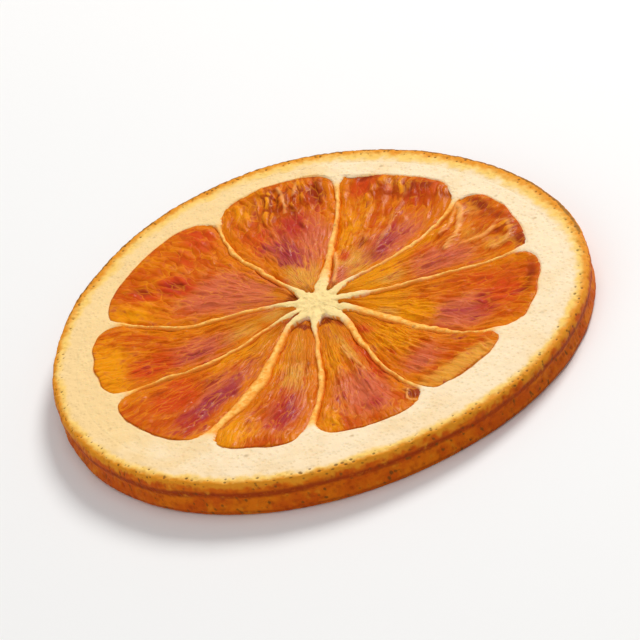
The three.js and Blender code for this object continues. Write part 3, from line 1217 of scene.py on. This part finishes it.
def make_pulp(segment):
    across, radius, bearing, width, wall = wedge_grid(segment)
    x, y = plan(bearing, radius)
    seed = FIRST_DRAW + DRAWS_EACH * segment
    shoulder = ease(wall, 0, 0.75)
    crease = (0.05 + 0.4 * ease(soft(x / 2.5, y / 2.5, seed + 8), -0.2, 0.6)) * (1 - shoulder)
    lift, pale = fold_relief(segment, across, bearing, radius, seed + 9)
    loose = blush(LOOSE_SACS, bearing, radius)
    sacs, vein, own = sac_relief(segment, across, radius, seed)
    sacs = sacs * (1 + 1.5 * loose) + 0.1 * loose
    bumps = (sacs + wrinkles(across, radius, seed)) * (0.3 + 0.7 * shoulder) + lift
    above = held_down(bumps - pulp_depth(segment, across, radius, crease) + LEVEL)
    under_sacs, under_vein, under_own = sac_relief(segment, across, radius, seed + 10)
    under_height = UNDER_DEPTH - dome(across) + 0.5 * (1 - shoulder)
    under_height = under_height - under_sacs - wrinkles(across, radius, seed + 10)
    reach = (radius - CORE_RADIUS) / (REACHES[segment] - CORE_RADIUS)
    warp = 1.6 * rough(x / 2.2, y / 2.2, seed + 12)
    known = {
        "side": (across - 0.5) * WEDGE_WIDTH,
        "reach": radius,
        "piece": segment,
        "skin": pale,
        "beside": 1 - ease(np.minimum(across, 1 - across) * width, 0.5, 2.8),
        "loose": loose,
        # Near the walls: painted shade in the crease, stronger towards the far end, where the juice is
        # darker too.
        "wall": (1 - ease(wall, 0.05, 0.5)) * (0.3 + 0.25 * ease(reach, 0.7, 1)),
        **{name: blush(TOUCHES[name], bearing + warp, radius) for name in BLUSHES},
    }
    top_points = place(bearing, radius, face_height(bearing, radius) - LEVEL + above)
    top = patch(top_points, sac=own, vein=vein, **known)
    under = patch(place(bearing, radius, under_height), True, sac=under_own, vein=under_vein, **known)
    return sew(f"pulp_{segment + 1:02d}", [top, under, *wedge_borders(top, under)], pulp_finish)


wedges = [make_pulp(number) for number in range(SEGMENTS)]

# %% [markdown]
# ## Standing in for the solid
#
# The plain solid stays in the model for its weight and its contacts, but is hidden: every mesh
# here rides on the same body.

# %% Riding and replacing
for piece in (skin, pith, *wedges):
    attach(piece, "root")
    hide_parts("citrus_slice")

# %% [markdown]
# ## Table, light and camera
#
# The photograph is a bright product shot: a white ground, one broad soft light from the upper
# right and a little behind, and enough fill that no shadow goes black. A sky texture would do
# it, but three area lamps are closer to a studio and easy to move.

# %% The table
TABLE_HALF = 3.0
TABLE_GAP = 0.02 * MM  # keeps its face apart from the slice's
TABLE_DULL = (0.86, 0.86, 0.86, 1)
TABLE_WHITE = (0.9, 0.9, 0.9, 1)


def make_table():
    mesh = bpy.data.meshes.new("table")
    corners = [(TABLE_HALF * x, TABLE_HALF * y, 0) for x, y in ((-1, -1), (1, -1), (1, 1), (-1, 1))]
    mesh.from_pydata(corners, [], [(0, 1, 2, 3)])
    table = bpy.data.objects.new("table", mesh)
    table.location.z = -TABLE_GAP
    bpy.context.collection.objects.link(table)
    bench = Bench("table_white")
    shade = tint(grain(body(bench), 3.0), TABLE_DULL, TABLE_WHITE)
    mesh.materials.append(bench.finish(Base_Color=shade, Roughness=0.6))


make_table()

# %% The lamps and the sky
LAMPS = [  # name, place, size, power and colour
    ("key", (0.38, 0.48, 0.52), 0.3, 5.2, (1.0, 0.98, 0.95)),
    ("fill", (-0.45, -0.6, 0.4), 0.7, 1.5, (1.0, 0.99, 0.97)),
    ("top", (0.0, 0.0, 0.9), 0.6, 1.2, (1.0, 1.0, 1.0)),
]
SKY_STRENGTH = 0.35


def make_lamp(name, place_at, size, power, colour):
    light = bpy.data.lights.new(name, "AREA")
    light.shape = "DISK"
    light.size = size
    light.energy = power
    light.color = colour
    lamp = bpy.data.objects.new(name, light)
    lamp.location = place_at
    lamp.rotation_euler = (-Vector(place_at)).to_track_quat("-Z", "Y").to_euler()
    bpy.context.collection.objects.link(lamp)
    print(f"lamp {name}: {power} W from {Vector(place_at).length:.2f} m")


for each in LAMPS:
    make_lamp(*each)

sky = bpy.data.worlds.new("studio")
sky.use_nodes = True
sky.node_tree.nodes["Background"].inputs["Color"].default_value = (1, 1, 1, 1)
sky.node_tree.nodes["Background"].inputs["Strength"].default_value = SKY_STRENGTH
bpy.context.scene.world = sky
bpy.context.scene.view_settings.view_transform = "Standard"

# %% The camera
CAMERA_ELEVATION = 33.9
CAMERA_ROLL = 17.1
CAMERA_DISTANCE = 0.6
VIEW_WIDTH = 78 * MM  # what the picture takes in, at the slice
SENSOR = 36.0

elevation = math.radians(CAMERA_ELEVATION)
camera_data = bpy.data.cameras.new("camera")
camera_data.sensor_width = SENSOR
camera_data.lens = SENSOR * CAMERA_DISTANCE / VIEW_WIDTH
camera = bpy.data.objects.new("camera", camera_data)
bpy.context.collection.objects.link(camera)
back = Vector((0, -math.cos(elevation), math.sin(elevation)))
target = Vector((0, 0, THICKNESS * MM / 2))
facing = (-back).to_track_quat("-Z", "Y").to_matrix().to_4x4()
roll = Matrix.Rotation(math.radians(-CAMERA_ROLL), 4, "Z")
camera.matrix_world = Matrix.Translation(target + back * CAMERA_DISTANCE) @ facing @ roll
bpy.context.scene.camera = camera
